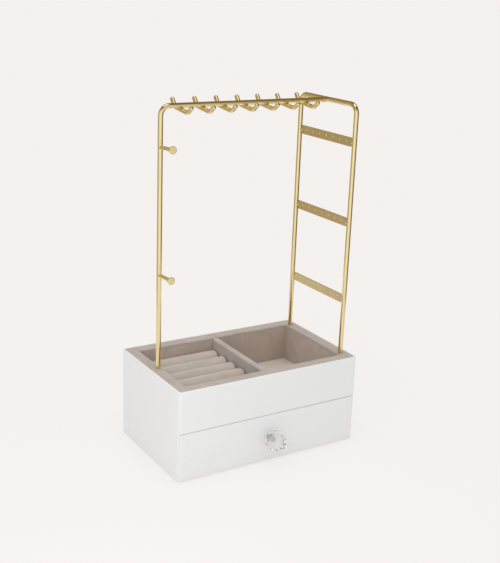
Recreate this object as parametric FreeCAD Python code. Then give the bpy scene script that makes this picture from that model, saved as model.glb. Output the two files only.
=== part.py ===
import FreeCAD, Part
import math
import os

# A jewelry stand: a mitred, lacquered box with a velvet tray on top and one drawer
# below, and a frame of bent round rods that carries hooks, pegs and earring strips.
# Millimetres. +X is to the right, +Y to the back, +Z up. The origin is at the middle
# of the felt that the box stands on.

V = FreeCAD.Vector

# ---- Driving dimensions ----------------------------------------------------------

# Box
case_width = 232.0
case_depth = 143.0
case_height = 105.0          # table to the top of the lip
wall = 14.0                  # thickness of the four boards
corner_radius = 3.0          # upright outer corners
edge_break = 0.7             # chamfer round the outer top edge
seam_edge_break = 0.5        # chamfer on the two edges along the drawer seam
lip = 1.1                    # board left standing outside the velvet rim
felt_thickness = 1.0
felt_inset = 4.0             # felt edge behind the faces of the box
base_thickness = 6.0
base_front_gap = 1.0         # base panel to the back of the drawer front
shelf_thickness = 2.5

# Drawer seam, as heights above the table
seam_height = 56.0           # top edge of the drawer front
seam_gap = 0.5
shelf_setback = 0.3          # underside of the shelf above the seam
front_lift = 0.6             # drawer front above the foot of the boards

# Velvet tray
rim_thickness = 2.4          # down from the top of the lip
rim_rise = 0.2               # rim proud of the lip
rim_gap = 0.15               # rim to the lip round it
rim_edge_break = 0.6
rim_corner_radius = 1.0
tray_corner_radius = 1.5     # upright corners of the tray's mouth
lining_thickness = 0.8
divider_thickness = 7.8
divider_offset = -0.6        # middle of the divider from the middle of the box
divider_drop = 1.0           # top of the divider below the lip
divider_edge_radius = 2.0
pad_thickness = 1.0

# Ring rolls
roll_count = 5
roll_drop = 12.0             # crests below the lip
roll_gap = 0.4               # between neighbours
roll_back_gap = 0.4
roll_front_gap = 10.0
roll_wall_gap = 0.4          # left end to the lining
roll_divider_gap = 1.6       # right end to the divider

# Rods
rod_diameter = 5.4
bend_radius = 10.0
bar_rise = 287.5             # middle of the top bar above the lip
post_inset = 11.0            # posts in from the side faces
frame_inset = 18.5           # frame posts in from the front and back faces
post_hole_gap = 0.15         # round a post, in the velvet rim
stud_diameter = 3.0
stud_length = 10.0
insert_diameter = 4.8
insert_length = 12.0
insert_bore_gap = 0.1        # round the stud

# Joint of the top bar and the frame
collar_diameter = 6.6
collar_width = 3.6
collar_gap = 1.4             # collar to the frame's rod
collar_bore_gap = 0.05
frame_screw_diameter = 2.4
frame_screw_grip = 9.0       # length inside the end of the bar
frame_screw_head_diameter = 4.4
frame_screw_head_height = 1.4
frame_screw_flat = 0.6       # depth of the flat under the head
frame_screw_gap = 0.1

# Earring strips
strip_count = 3
strip_drop = 41.0            # first strip below the bar, middle to middle
strip_spacing = 90.2
strip_height = 10.2
strip_thickness = 1.6
strip_end_gap = 1.4          # strip to the posts
strip_corner_radius = 0.8
strip_holes = 7
strip_hole_diameter = 2.0
strip_hole_sides = 12        # flats round a pierced hole
strip_hole_margin = 10.0     # end of the strip to the first hole
pin_diameter = 3.0
pin_sides = 16               # flats round a pin

# Pegs
peg_count = 2
peg_drop = 42.0              # upper peg below the bar
peg_spacing = 138.0
peg_reach = 28.3             # middle of the post to the middle of the disc
peg_diameter = 4.2
peg_tilt = 3.0               # degrees, tip up
disc_diameter = 8.5
disc_thickness = 1.8
disc_edge_break = 0.5

# Hooks
hook_count = 7
hook_left_margin = 24.0      # left post to the first hook, middle to middle
hook_right_margin = 29.4     # last hook to the frame, leaving room for the collar
hook_wire = 4.8
hook_reach = 22.6            # middle of the bar to the middle of a tip
hook_rise = 7.7              # tips above the level run
hook_angle = 44.0            # degrees from the level run
hook_tilt = 6.0              # degrees that the front hangs down
hook_bend_radius = 8.0
hook_bend_steps = 4          # straight steps that each bend is made in
hook_sides = 16              # flats round the wire
hook_seat = 0.4              # depth of the saddle that fits the bar

# Drawer
drawer_side_gap = 0.4        # to the walls
drawer_mitre_gap = 0.2       # at the mitred ends of the front
drawer_lift = 0.4            # above the base panel
drawer_head_gap = 3.0        # sides below the shelf
drawer_rear_gap = 1.5        # drawer to the back board
drawer_side_thickness = 7.0
drawer_back_thickness = 7.0
drawer_back_drop = 2.0       # back below the top of the sides
drawer_bottom_thickness = 3.0
drawer_bottom_rise = 3.6     # bottom panel above the foot of the sides
drawer_groove = 3.0
drawer_pad_thickness = 1.5
drawer_lining_thickness = 1.0
drawer_lining_drop = 1.0     # linings below the top of the sides

# Knob, turned about an axis square to the drawer front
knob_facets = 8
knob_foot_radius = 7.0
knob_widths = (11.0, 12.3, 9.8)     # radii of the three rings of corners
knob_stations = (4.5, 12.5, 20.5)   # their distances from the drawer front
knob_table_radius = 5.6
knob_length = 25.0
knob_screw_diameter = 4.0
knob_screw_grip = 12.0       # length inside the knob
knob_screw_head_diameter = 8.0
knob_screw_head_height = 2.2
knob_screw_gap = 0.2

# ---- Derived places --------------------------------------------------------------

half_width = case_width / 2
half_depth = case_depth / 2
inner_x = half_width - wall
inner_y = half_depth - wall

board_foot = felt_thickness
base_top = felt_thickness + base_thickness
seam_top = seam_height + seam_gap
shelf_bottom = seam_top + shelf_setback
shelf_top = shelf_bottom + shelf_thickness
rim_bottom = case_height - rim_thickness
rim_top = case_height + rim_rise

tray_x = inner_x - lining_thickness
tray_y = inner_y - lining_thickness
divider_left = divider_offset - divider_thickness / 2
divider_right = divider_offset + divider_thickness / 2
pad_top = shelf_top + pad_thickness

post_x = half_width - post_inset
frame_y = half_depth - frame_inset
rod_radius = rod_diameter / 2
bar_z = case_height + bar_rise
post_feet = ((-post_x, 0), (post_x, -frame_y), (post_x, frame_y))

drawer_x = inner_x - drawer_side_gap
drawer_inner_x = drawer_x - drawer_side_thickness
drawer_rear = inner_y - drawer_rear_gap
drawer_inner_rear = drawer_rear - drawer_back_thickness
drawer_foot = base_top + drawer_lift
drawer_top = shelf_bottom - drawer_head_gap
bottom_low = drawer_foot + drawer_bottom_rise
bottom_high = bottom_low + drawer_bottom_thickness
front_foot = board_foot + front_lift
knob_z = (front_foot + seam_height) / 2

past = 1.0                   # how far a cutting tool runs past what it cuts
tiny = 1e-3                  # a length that counts as none

# ---- Shapes in common ------------------------------------------------------------


def block(x0, x1, y0, y1, z0, z1):
    """A square-edged block between two corners."""
    return Part.makeBox(x1 - x0, y1 - y0, z1 - z0, V(x0, y0, z0))


def bar(start, end, radius):
    """A round bar between two points."""
    run = end - start
    return Part.makeCylinder(radius, run.Length, start, run)


def prism(points, low, high):
    """An upright prism on a plan outline."""
    corners = [V(x, y, low) for x, y in points]
    outline = Part.makePolygon(corners + corners[:1])
    return Part.Face(outline).extrude(V(0, 0, high - low))


def upright_edges(shape):
    """The edges that run straight up."""
    return [e for e in shape.Edges if e.BoundBox.ZLength > tiny
            and e.BoundBox.XLength < tiny and e.BoundBox.YLength < tiny]


def level_edges(shape, height):
    """The edges that lie flat at a height."""
    return [e for e in shape.Edges
            if e.BoundBox.ZLength < tiny and abs(e.BoundBox.ZMin - height) < tiny]


def rounded_block(x, y, z0, z1, radius):
    """A block about the Z axis with round upright corners, given its half sizes."""
    solid = block(-x, x, -y, y, z0, z1)
    return solid.makeFillet(radius, upright_edges(solid))


def bent_rod(points, bend, radius):
    """A round rod that runs from point to point, with a tangent arc at each turn."""
    edges = []
    start = points[0]
    for before, corner, after in zip(points, points[1:], points[2:]):
        back = (before - corner).normalize()
        ahead = (after - corner).normalize()
        half_turn = (math.pi - back.getAngle(ahead)) / 2
        reach = bend * math.tan(half_turn)
        middle = (back + ahead).normalize() * (bend / math.cos(half_turn) - bend)
        arc_start = corner + back * reach
        arc_end = corner + ahead * reach
        edges.append(Part.LineSegment(start, arc_start).toShape())
        edges.append(Part.Arc(arc_start, corner + middle, arc_end).toShape())
        start = arc_end
    edges.append(Part.LineSegment(start, points[-1]).toShape())
    section = Part.Wire(Part.makeCircle(radius, points[0], points[1] - points[0]))
    return Part.Wire(edges).makePipe(Part.Face(section))


def many_sided(centre, across, along, radius, sides):
    """A regular outline about a centre, in the plane of two square directions."""
    corners = []
    for number in range(sides):
        angle = 2 * math.pi * number / sides
        corners.append(centre + across * (radius * math.cos(angle)) + along * (radius * math.sin(angle)))
    return Part.makePolygon(corners + corners[:1])


def save(name, shape):
    """Write one sub-part."""
    shape.exportStep("parts/" + name + ".step")


# ---- The box ---------------------------------------------------------------------


def case_ring():
    """The four boards in one piece, before the mitre cuts."""
    outer = rounded_block(half_width, half_depth, board_foot, case_height, corner_radius)
    outer = outer.makeChamfer(edge_break, level_edges(outer, case_height))
    cavity = block(-inner_x, inner_x, -inner_y, inner_y, board_foot - past, case_height + past)
    pocket = rounded_block(half_width - lip, half_depth - lip, rim_bottom, case_height + past,
                           rim_corner_radius)
    return outer.cut(cavity).cut(pocket)


def side_plan(side):
    """Plan of a side board, mitred at both ends. The side is -1 or 1."""
    out_x = side * (half_width + past)
    in_x = side * inner_x
    out_y = half_depth + past
    return [(out_x, -out_y), (out_x, out_y), (in_x, inner_y), (in_x, -inner_y)]


def cross_plan(side, end_gap):
    """Plan of a front (-1) or back (1) board, its mitres drawn in by an end gap."""
    out_x = half_width + past - end_gap
    in_x = inner_x - end_gap
    out_y = side * (half_depth + past)
    in_y = side * inner_y
    return [(-out_x, out_y), (out_x, out_y), (in_x, in_y), (-in_x, in_y)]


def soften_seam(board, height):
    """Chamfer the outer edge of a front board where it meets the seam."""
    outer = [e for e in level_edges(board, height)
             if e.CenterOfMass.y < -half_depth + corner_radius]
    return board.makeChamfer(seam_edge_break, outer)


def insert_socket(x, y):
    """The hole that a threaded insert fills."""
    return bar(V(x, y, rim_bottom - insert_length), V(x, y, rim_bottom + past),
               insert_diameter / 2)


def build_boards(ring):
    """The side boards, the back and the rail above the drawer."""
    sockets = Part.makeCompound([insert_socket(x, y) for x, y in post_feet])
    for name, side in (("side_panel_left", -1), ("side_panel_right", 1)):
        board = ring.common(prism(side_plan(side), 0, case_height + past))
        save(name, board.cut(sockets))
    save("back_panel", ring.common(prism(cross_plan(1, 0), 0, case_height + past)))
    rail = ring.common(prism(cross_plan(-1, 0), seam_top, case_height + past))
    save("front_rail", soften_seam(rail, seam_top))


def build_floors():
    """The base panel with its felt, and the shelf under the tray."""
    base_front = -inner_y + base_front_gap
    save("base_panel", block(-inner_x, inner_x, base_front, inner_y, board_foot, base_top))
    felt_x = half_width - felt_inset
    felt_back = half_depth - felt_inset
    save("base_felt", block(-felt_x, felt_x, base_front, felt_back, 0, felt_thickness))
    save("shelf_panel", block(-inner_x, inner_x, -inner_y, inner_y, shelf_bottom, shelf_top))


# ---- The velvet tray -------------------------------------------------------------


def build_rim():
    """The velvet frame in its rebate, with a hole for each post."""
    plate = rounded_block(half_width - lip - rim_gap, half_depth - lip - rim_gap,
                          rim_bottom, rim_top, rim_corner_radius)
    mouth = rounded_block(tray_x, tray_y, rim_bottom - past, case_height + past,
                          tray_corner_radius)
    rim = plate.cut(mouth)
    rim = rim.makeChamfer(rim_edge_break, level_edges(rim, rim_top))
    for x, y in post_feet:
        rim = rim.cut(bar(V(x, y, rim_bottom - past), V(x, y, case_height + past),
                          rod_radius + post_hole_gap))
    save("tray_rim", rim)


def build_linings():
    """Velvet on the four walls, the divider and the two floor pads."""
    low, high = shelf_top, rim_bottom
    save("lining_left", block(-inner_x, -tray_x, -tray_y, tray_y, low, high))
    save("lining_right", block(tray_x, inner_x, -tray_y, tray_y, low, high))
    save("lining_front", block(-inner_x, inner_x, -inner_y, -tray_y, low, high))
    save("lining_back", block(-inner_x, inner_x, tray_y, inner_y, low, high))

    divider_top = case_height - divider_drop
    divider = block(divider_left, divider_right, -tray_y, tray_y, low, divider_top)
    long_edges = [e for e in level_edges(divider, divider_top) if e.BoundBox.YLength > tiny]
    save("tray_divider", divider.makeFillet(divider_edge_radius, long_edges))

    save("floor_pad_left", block(-tray_x, divider_left, -tray_y, tray_y, low, pad_top))
    save("floor_pad_right", block(divider_right, tray_x, -tray_y, tray_y, low, pad_top))


def ring_roll(middle, width):
    """A padded roll along X, flat underneath and half round on top."""
    left = -tray_x + roll_wall_gap
    right = divider_left - roll_divider_gap
    crest = case_height - roll_drop
    shoulder = crest - width / 2
    front = middle - width / 2
    rear = middle + width / 2
    outline = Part.Wire([
        Part.LineSegment(V(left, front, pad_top), V(left, front, shoulder)).toShape(),
        Part.Arc(V(left, front, shoulder), V(left, middle, crest),
                 V(left, rear, shoulder)).toShape(),
        Part.LineSegment(V(left, rear, shoulder), V(left, rear, pad_top)).toShape(),
        Part.LineSegment(V(left, rear, pad_top), V(left, front, pad_top)).toShape()])
    return Part.Face(outline).extrude(V(right - left, 0, 0))


def build_rolls():
    """The ring rolls, side by side from the back of the left compartment."""
    first_rear = tray_y - roll_back_gap
    pitch = (first_rear + tray_y - roll_front_gap) / roll_count
    for number in range(roll_count):
        middle = first_rear - pitch * (number + 0.5)
        save("ring_roll_%d" % (number + 1), ring_roll(middle, pitch - roll_gap))


# ---- The rods --------------------------------------------------------------------


def stud(x, y):
    """The thin end of a post, which goes into its insert."""
    return bar(V(x, y, rim_bottom - stud_length), V(x, y, rim_bottom), stud_diameter / 2)


def frame_top_rod():
    """The frame's top run, as the round that the bar's end is fitted to."""
    return bar(V(post_x, -frame_y, bar_z), V(post_x, frame_y, bar_z), rod_radius)


def frame_screw_core(radius):
    """The shank of the frame screw, or its hole."""
    far = post_x + rod_radius - frame_screw_flat
    near = post_x - rod_radius - frame_screw_grip
    return bar(V(near, 0, bar_z), V(far, 0, bar_z), radius)


def build_rods():
    """The post that bends into the top bar, and the frame that the bar runs into."""
    screw_hole = frame_screw_core(frame_screw_diameter / 2 + frame_screw_gap)
    post = bent_rod([V(-post_x, 0, rim_bottom), V(-post_x, 0, bar_z), V(post_x, 0, bar_z)],
                    bend_radius, rod_radius)
    post = post.fuse(stud(-post_x, 0)).removeSplitter()
    save("left_post_bar", post.cut(frame_top_rod()).cut(screw_hole))

    frame = bent_rod([V(post_x, -frame_y, rim_bottom), V(post_x, -frame_y, bar_z),
                      V(post_x, frame_y, bar_z), V(post_x, frame_y, rim_bottom)],
                     bend_radius, rod_radius)
    for side in (-1, 1):
        frame = frame.fuse(stud(post_x, side * frame_y))
    flat_x = post_x + rod_radius - frame_screw_flat
    flat_reach = frame_screw_head_diameter / 2 + frame_screw_gap
    flat = bar(V(flat_x, 0, bar_z), V(flat_x + past, 0, bar_z), flat_reach)
    save("right_frame", frame.removeSplitter().cut(flat).cut(screw_hole))


def build_bar_joint():
    """The collar near the end of the bar and the screw from the frame's far side."""
    collar_end = post_x - rod_radius - collar_gap
    run = (V(collar_end - collar_width, 0, bar_z), V(collar_end, 0, bar_z))
    collar = bar(*run, collar_diameter / 2).cut(bar(*run, rod_radius + collar_bore_gap))
    save("bar_collar", collar)

    flat_x = post_x + rod_radius - frame_screw_flat
    head = bar(V(flat_x, 0, bar_z), V(flat_x + frame_screw_head_height, 0, bar_z),
               frame_screw_head_diameter / 2)
    save("frame_screw", head.fuse(frame_screw_core(frame_screw_diameter / 2)))


def build_inserts():
    """The brass inserts that the three post feet screw into, as one node."""
    inserts = []
    for x, y in post_feet:
        sleeve = bar(V(x, y, rim_bottom - insert_length), V(x, y, rim_bottom),
                     insert_diameter / 2)
        bore = bar(V(x, y, rim_bottom - insert_length - past), V(x, y, rim_bottom + past),
                   stud_diameter / 2 + insert_bore_gap)
        inserts.append(sleeve.cut(bore))
    save("threaded_inserts", Part.makeCompound(inserts))


# ---- Earring strips --------------------------------------------------------------


def pierced_hole(left, y, height):
    """The punch that makes one hole in a strip."""
    outline = many_sided(V(left - past, y, height), V(0, 1, 0), V(0, 0, 1),
                         strip_hole_diameter / 2, strip_hole_sides)
    return Part.Face(outline).extrude(V(strip_thickness + 2 * past, 0, 0))


def earring_strip(height):
    """A flat strip between the frame posts, pierced by an even row of holes."""
    reach = frame_y - rod_radius - strip_end_gap
    left = post_x - strip_thickness / 2
    strip = block(left, left + strip_thickness, -reach, reach,
                  height - strip_height / 2, height + strip_height / 2)
    corners = [e for e in strip.Edges if e.BoundBox.XLength > tiny]
    strip = strip.makeFillet(strip_corner_radius, corners)
    first = -reach + strip_hole_margin
    pitch = -2 * first / (strip_holes - 1)
    for number in range(strip_holes):
        strip = strip.cut(pierced_hole(left, first + pitch * number, height))
    return strip


def strip_pin(side, height):
    """A pin from the end of a strip to the frame post on one side, fitted to the post."""
    strip_end = frame_y - rod_radius - strip_end_gap
    outline = many_sided(V(post_x, side * strip_end, height), V(1, 0, 0), V(0, 0, 1),
                         pin_diameter / 2, pin_sides)
    pin = Part.Face(outline).extrude(V(0, side * (frame_y - strip_end), 0))
    post = bar(V(post_x, side * frame_y, height - pin_diameter),
               V(post_x, side * frame_y, height + pin_diameter), rod_radius)
    return pin.cut(post)


def build_strips():
    """The earring strips, and their pins as one node."""
    pins = []
    for number in range(strip_count):
        height = bar_z - strip_drop - strip_spacing * number
        save("earring_strip_%d" % (number + 1), earring_strip(height))
        pins += [strip_pin(side, height) for side in (-1, 1)]
    save("strip_pins", Part.makeCompound(pins))


# ---- Pegs and hooks --------------------------------------------------------------


def peg(height):
    """A thin stem with a round disc on its end, fitted to the left post."""
    stem = bar(V(0, 0, 0), V(0, -peg_reach, 0), peg_diameter / 2)
    disc = bar(V(0, -peg_reach + disc_thickness / 2, 0), V(0, -peg_reach - disc_thickness / 2, 0),
               disc_diameter / 2)
    front_edge = [e for e in disc.Edges if e.BoundBox.YMax < -peg_reach]
    disc = disc.makeChamfer(disc_edge_break, front_edge)
    solid = stem.fuse(disc)
    solid.rotate(V(0, 0, 0), V(1, 0, 0), -peg_tilt)
    solid.translate(V(-post_x, 0, height))
    post = bar(V(-post_x, 0, height - rod_diameter), V(-post_x, 0, height + rod_diameter), rod_radius)
    return solid.cut(post)


def build_pegs():
    """The pegs down the front of the left post."""
    for number in range(peg_count):
        save("peg_%d" % (number + 1), peg(bar_z - peg_drop - peg_spacing * number))


def stepped_bend(before, corner, after):
    """Points along a bend, from one tangent point to the other, on the bend's radius."""
    back = (before - corner).normalize()
    ahead = (after - corner).normalize()
    half_turn = (math.pi - back.getAngle(ahead)) / 2
    centre = corner + (back + ahead).normalize() * (hook_bend_radius / math.cos(half_turn))
    start = corner + back * (hook_bend_radius * math.tan(half_turn)) - centre
    axis = ahead.cross(back)
    points = []
    for step in range(hook_bend_steps + 1):
        turn = FreeCAD.Rotation(axis, math.degrees(2 * half_turn) * step / hook_bend_steps)
        points.append(centre + turn.multVec(start))
    return points


def hook(x):
    """A wire run under the bar, turned up at both ends and tipped forward, with a saddle."""
    level = bar_z - rod_radius - hook_wire / 2 + hook_seat
    knee = hook_reach - hook_rise / math.tan(math.radians(hook_angle))
    front_tip = V(x, -hook_reach, level + hook_rise)
    front_knee = V(x, -knee, level)
    back_knee = V(x, knee, level)
    back_tip = V(x, hook_reach, level + hook_rise)
    route = [front_tip] + stepped_bend(front_tip, front_knee, back_knee)
    route += stepped_bend(front_knee, back_knee, back_tip) + [back_tip]
    square = V(1, 0, 0).cross(front_knee - front_tip).normalize()
    section = many_sided(front_tip, V(1, 0, 0), square, hook_wire / 2, hook_sides)
    mitred = 1
    wire = Part.makePolygon(route).makePipeShell([section], True, False, mitred)
    wire = wire.cut(bar(V(x - hook_wire, 0, bar_z), V(x + hook_wire, 0, bar_z), rod_radius))
    wire.rotate(V(x, 0, bar_z), V(1, 0, 0), hook_tilt)
    return wire


def build_hooks():
    """The hooks, spaced evenly along the bar."""
    first = -post_x + hook_left_margin
    last = post_x - hook_right_margin
    pitch = (last - first) / (hook_count - 1)
    for number in range(hook_count):
        save("hook_%d" % (number + 1), hook(first + pitch * number))


# ---- The drawer ------------------------------------------------------------------


def knob_screw_solid(extra):
    """The screw of the knob, or with extra its hole, driven in from inside the drawer."""
    head_top = -inner_y
    head = bar(V(0, head_top + extra, knob_z), V(0, head_top - knob_screw_head_height, knob_z),
               knob_screw_head_diameter / 2 + extra)
    shank = bar(V(0, head_top, knob_z), V(0, -half_depth - knob_screw_grip - extra, knob_z),
                knob_screw_diameter / 2 + extra)
    return head.fuse(shank)


def drawer_bottom_panel():
    """The thin bottom, held in grooves in the front and the sides."""
    reach = drawer_inner_x + drawer_groove
    return block(-reach, reach, -inner_y - drawer_groove, drawer_rear, bottom_low, bottom_high)


def build_drawer_box(ring):
    """The drawer front, the grooved sides, the back and the bottom."""
    bottom = drawer_bottom_panel()
    front = ring.common(prism(cross_plan(-1, drawer_mitre_gap), front_foot, seam_height))
    front = soften_seam(front, seam_height)
    save("drawer_front", front.cut(bottom).cut(knob_screw_solid(knob_screw_gap)))
    for name, side in (("drawer_side_left", -1), ("drawer_side_right", 1)):
        near, far = sorted((side * drawer_x, side * drawer_inner_x))
        board = block(near, far, -inner_y, drawer_rear, drawer_foot, drawer_top)
        save(name, board.cut(bottom))
    save("drawer_back", block(-drawer_inner_x, drawer_inner_x, drawer_inner_rear, drawer_rear,
                              bottom_high, drawer_top - drawer_back_drop))
    save("drawer_bottom", bottom)


def build_drawer_linings():
    """The velvet inside the drawer: a floor pad and four wall strips."""
    x, t = drawer_inner_x, drawer_lining_thickness
    front, rear = -inner_y, drawer_inner_rear
    save("drawer_floor_pad", block(-x, x, front, rear, bottom_high,
                                   bottom_high + drawer_pad_thickness))
    low = bottom_high + drawer_pad_thickness
    high = drawer_top - drawer_lining_drop
    back_high = high - drawer_back_drop
    save("drawer_lining_front", block(-x, x, front, front + t, low, high))
    save("drawer_lining_back", block(-x, x, rear - t, rear, low, back_high))
    save("drawer_lining_left", block(-x, -x + t, front + t, rear - t, low, high))
    save("drawer_lining_right", block(x - t, x, front + t, rear - t, low, high))


def knob_ring(radius, station, turned):
    """The corners of one ring of the knob, half a facet round when turned."""
    y = -half_depth - station
    step = 2 * math.pi / knob_facets
    corners = []
    for number in range(knob_facets):
        angle = step * (number + (0.5 if turned else 0))
        corners.append(V(radius * math.cos(angle), y, knob_z + radius * math.sin(angle)))
    return corners


def facet(*corners):
    """One flat face of the knob."""
    return Part.Face(Part.makePolygon(list(corners) + [corners[0]]))


def build_knob():
    """A clear ball cut in triangular facets, and the screw that holds it."""
    radii = (knob_foot_radius,) + knob_widths + (knob_table_radius,)
    stations = (0,) + knob_stations + (knob_length,)
    rings = [knob_ring(radius, station, index % 2)
             for index, (radius, station) in enumerate(zip(radii, stations))]
    faces = [facet(*rings[0]), facet(*rings[-1])]
    for index, (lower, upper) in enumerate(zip(rings, rings[1:])):
        lead = index % 2
        for number in range(knob_facets):
            after = (number + 1) % knob_facets
            faces.append(facet(lower[number], lower[after], upper[(number + lead) % knob_facets]))
            faces.append(facet(upper[number], upper[after], lower[(number + 1 - lead) % knob_facets]))
    ball = Part.Solid(Part.makeShell(faces))
    hole = knob_screw_solid(knob_screw_gap)
    save("drawer_knob", ball.cut(hole))
    save("knob_screw", knob_screw_solid(0))


# ---- Build -----------------------------------------------------------------------

os.makedirs("parts", exist_ok=True)
walls = case_ring()
build_boards(walls)
build_floors()
build_rim()
build_linings()
build_rolls()
build_rods()
build_bar_joint()
build_inserts()
build_strips()
build_pegs()
build_hooks()
build_drawer_box(walls)
build_drawer_linings()
build_knob()
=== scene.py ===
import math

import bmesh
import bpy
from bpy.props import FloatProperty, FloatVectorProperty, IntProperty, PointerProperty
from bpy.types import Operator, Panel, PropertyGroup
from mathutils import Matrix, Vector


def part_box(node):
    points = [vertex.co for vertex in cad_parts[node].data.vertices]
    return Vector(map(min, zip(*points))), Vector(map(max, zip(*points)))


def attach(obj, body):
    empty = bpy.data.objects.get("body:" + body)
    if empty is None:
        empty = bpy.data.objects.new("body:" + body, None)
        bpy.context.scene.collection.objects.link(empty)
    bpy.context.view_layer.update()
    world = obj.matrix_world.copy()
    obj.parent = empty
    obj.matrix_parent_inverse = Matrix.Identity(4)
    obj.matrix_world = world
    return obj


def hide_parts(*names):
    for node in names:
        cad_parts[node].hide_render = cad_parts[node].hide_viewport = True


bl_info = {
    "name": "Jewelry Stand with Drawer",
    "version": (1, 0, 0),
    "blender": (4, 5, 0),
    "location": "3D View > Sidebar > Jewelry Stand",
    "description": "Dresses a lacquered jewelry box, its velvet tray, drawer and gold rod frame",
    "category": "Add Mesh",
}

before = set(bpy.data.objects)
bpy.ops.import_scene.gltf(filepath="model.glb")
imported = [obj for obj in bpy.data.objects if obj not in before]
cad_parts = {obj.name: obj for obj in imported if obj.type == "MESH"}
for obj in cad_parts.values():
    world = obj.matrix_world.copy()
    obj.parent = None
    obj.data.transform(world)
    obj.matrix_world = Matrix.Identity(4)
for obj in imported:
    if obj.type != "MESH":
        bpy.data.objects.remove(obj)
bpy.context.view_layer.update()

MM = 0.001


# ---- Places taken from the frame ----


def middle(node):
    """Middle of a node's box."""
    low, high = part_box(node)
    return (low + high) / 2


def span(node):
    """Size of a node's box."""
    low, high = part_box(node)
    return high - low


CASE_LOW, CASE_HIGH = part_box("side_panel_left")
HALF_WIDTH = -CASE_LOW.x
HALF_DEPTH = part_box("back_panel")[1].y
CASE_FOOT = CASE_LOW.z
CASE_TOP = CASE_HIGH.z
WALL = span("side_panel_left").x
INNER_X = HALF_WIDTH - WALL
INNER_Y = HALF_DEPTH - WALL
RIM_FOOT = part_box("tray_rim")[0].z
RAIL_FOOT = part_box("front_rail")[0].z
FRONT_LOW, FRONT_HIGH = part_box("drawer_front")

POST_X = -middle("peg_1").x
ROD_RADIUS = span("right_frame").x / 2
FRAME_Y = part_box("right_frame")[1].y - ROD_RADIUS
BAR_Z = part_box("right_frame")[1].z - ROD_RADIUS
POST_FEET = ((-POST_X, 0.0), (POST_X, -FRAME_Y), (POST_X, FRAME_Y))

# ---- Small sizes of the pieces ----

PAST = 1 * MM  # how far a cutter runs past what it cuts
MITRE_GAP = 0.1 * MM  # at each mitred end of the drawer front
FRONT_RAISE = 0.26 * MM  # drawer front drawn up into the seam
FOOT_ROUND, FRONT_FOOT_ROUND = 0.4 * MM, 0.6 * MM  # bottom outer edges of box and front
RIM_CORNER = 3 * MM  # upright corners of the velvet rim and its rebate
MOUTH_CORNER = 1.5 * MM  # upright corners of the tray's mouth
MOUTH_ROLL = 1.7 * MM  # velvet rolled over into the tray
VELVET_GAP = 0.15 * MM  # rim round a post, and rim past the linings
DIVIDER_ROUND = 2 * MM
FELT_CORNER, FELT_ROUND = 4 * MM, 0.3 * MM
CARD_ROUND, PAD_CORNER = 0.12 * MM, 1.2 * MM
PAD_SHARE = 0.8  # of a pad's thickness, taken up by its rounded edge
ROLL_SHARE, ROLL_END = 0.97, 1.1 * MM  # round over a roll, of half its width, and at its ends
FOAM_GAP = 0.45 * MM  # foam core under the size of its roll
FOAM_STRETCH = 0.75 * MM  # and its right end, drawn towards the divider
PUFF_LIMIT = 0.42 * MM  # furthest that a roll's skin may move
SOCKET_RADIUS, SOCKET_DEPTH = 2.4 * MM, 12 * MM
STUD_RADIUS, STUD_LENGTH = 1.5 * MM, 10 * MM
SCREW_FLAT, FLAT_RADIUS = 0.6 * MM, 2.3 * MM  # flat under the frame screw's head
SHANK_RADIUS, HEAD_ROUND = 1.2 * MM, 0.7 * MM
METAL_ROUND = 0.22 * MM  # edges of the collar and the strips
STRIP_CORNER = 0.8 * MM
STRIP_TRIM = Vector((0.25, 1.0, 0)) * MM
STRIP_HOLES, HOLE_MARGIN = 7, 10 * MM
PIN_RADIUS, PIN_PRESS = 1.8 * MM, (0.62, 1.0, 1.35)
PEG_DROP, PEG_REACH, STEM_RADIUS = 42 * MM, 28.3 * MM, 2.1 * MM
DISC_RADIUS, DISC_THICKNESS = 4.25 * MM, 1.8 * MM
DISC_ROUND, STEM_ROUND = 0.6 * MM, 0.5 * MM
HOOK_SEAT = 0.4 * MM  # how deep the bar lies in a hook's saddle
BORE_RADIUS, SINK_RADIUS, SINK_DEPTH = 2.2 * MM, 4.2 * MM, 2.4 * MM  # for the knob screw
KNOB_GAP, FACET_ROUND = 0.05 * MM, 0.14 * MM  # knob's foot off the front, and its edges
# Radius and distance from the drawer front of each ring of facets, in millimetres.
KNOB_RINGS = ((6.6, 0.0), (10.1, 4.3), (11.2, 11.8), (8.5, 19.6), (4.9, 24.9))

# ---- The studio ----

CAMERA_AIM = (-32.16, 17.49)  # degrees round from the front, degrees up
CAMERA_ROLL = math.radians(2.18)
CAMERA_TARGET = Vector((10.2, 0.0, 190.1)) * MM
CAMERA_DISTANCE = 1.121
FOCAL_PIXELS, IMAGE_PIXELS, SENSOR_WIDTH = 986.0, 563.0, 36.0
SUN_AIM, SOFTBOX_AIM, GLINT_AIM = (-30.0, 80.0), (-43.0, 27.0), (-150.0, 0.0)
AIR_COLOUR, AIR_LEVEL = (0.985, 0.992, 1.0), 0.725
SHADED_ROOM, GLINT = (0.22, 0.155, 0.085), (0.50, 0.42, 0.28)
FLOOR_GLOW = 0.74
SCREEN_RADIUS, SCREEN_HEIGHT = 0.62, 1.6
SCREEN_FADE = (450.0, 1050.0)  # heights in millimetres


# ---- Settings ----


LENGTH = {"min": 0.0, "subtype": "DISTANCE"}
COLOUR = {"size": 3, "min": 0.0, "max": 1.0, "subtype": "COLOR"}


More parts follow.
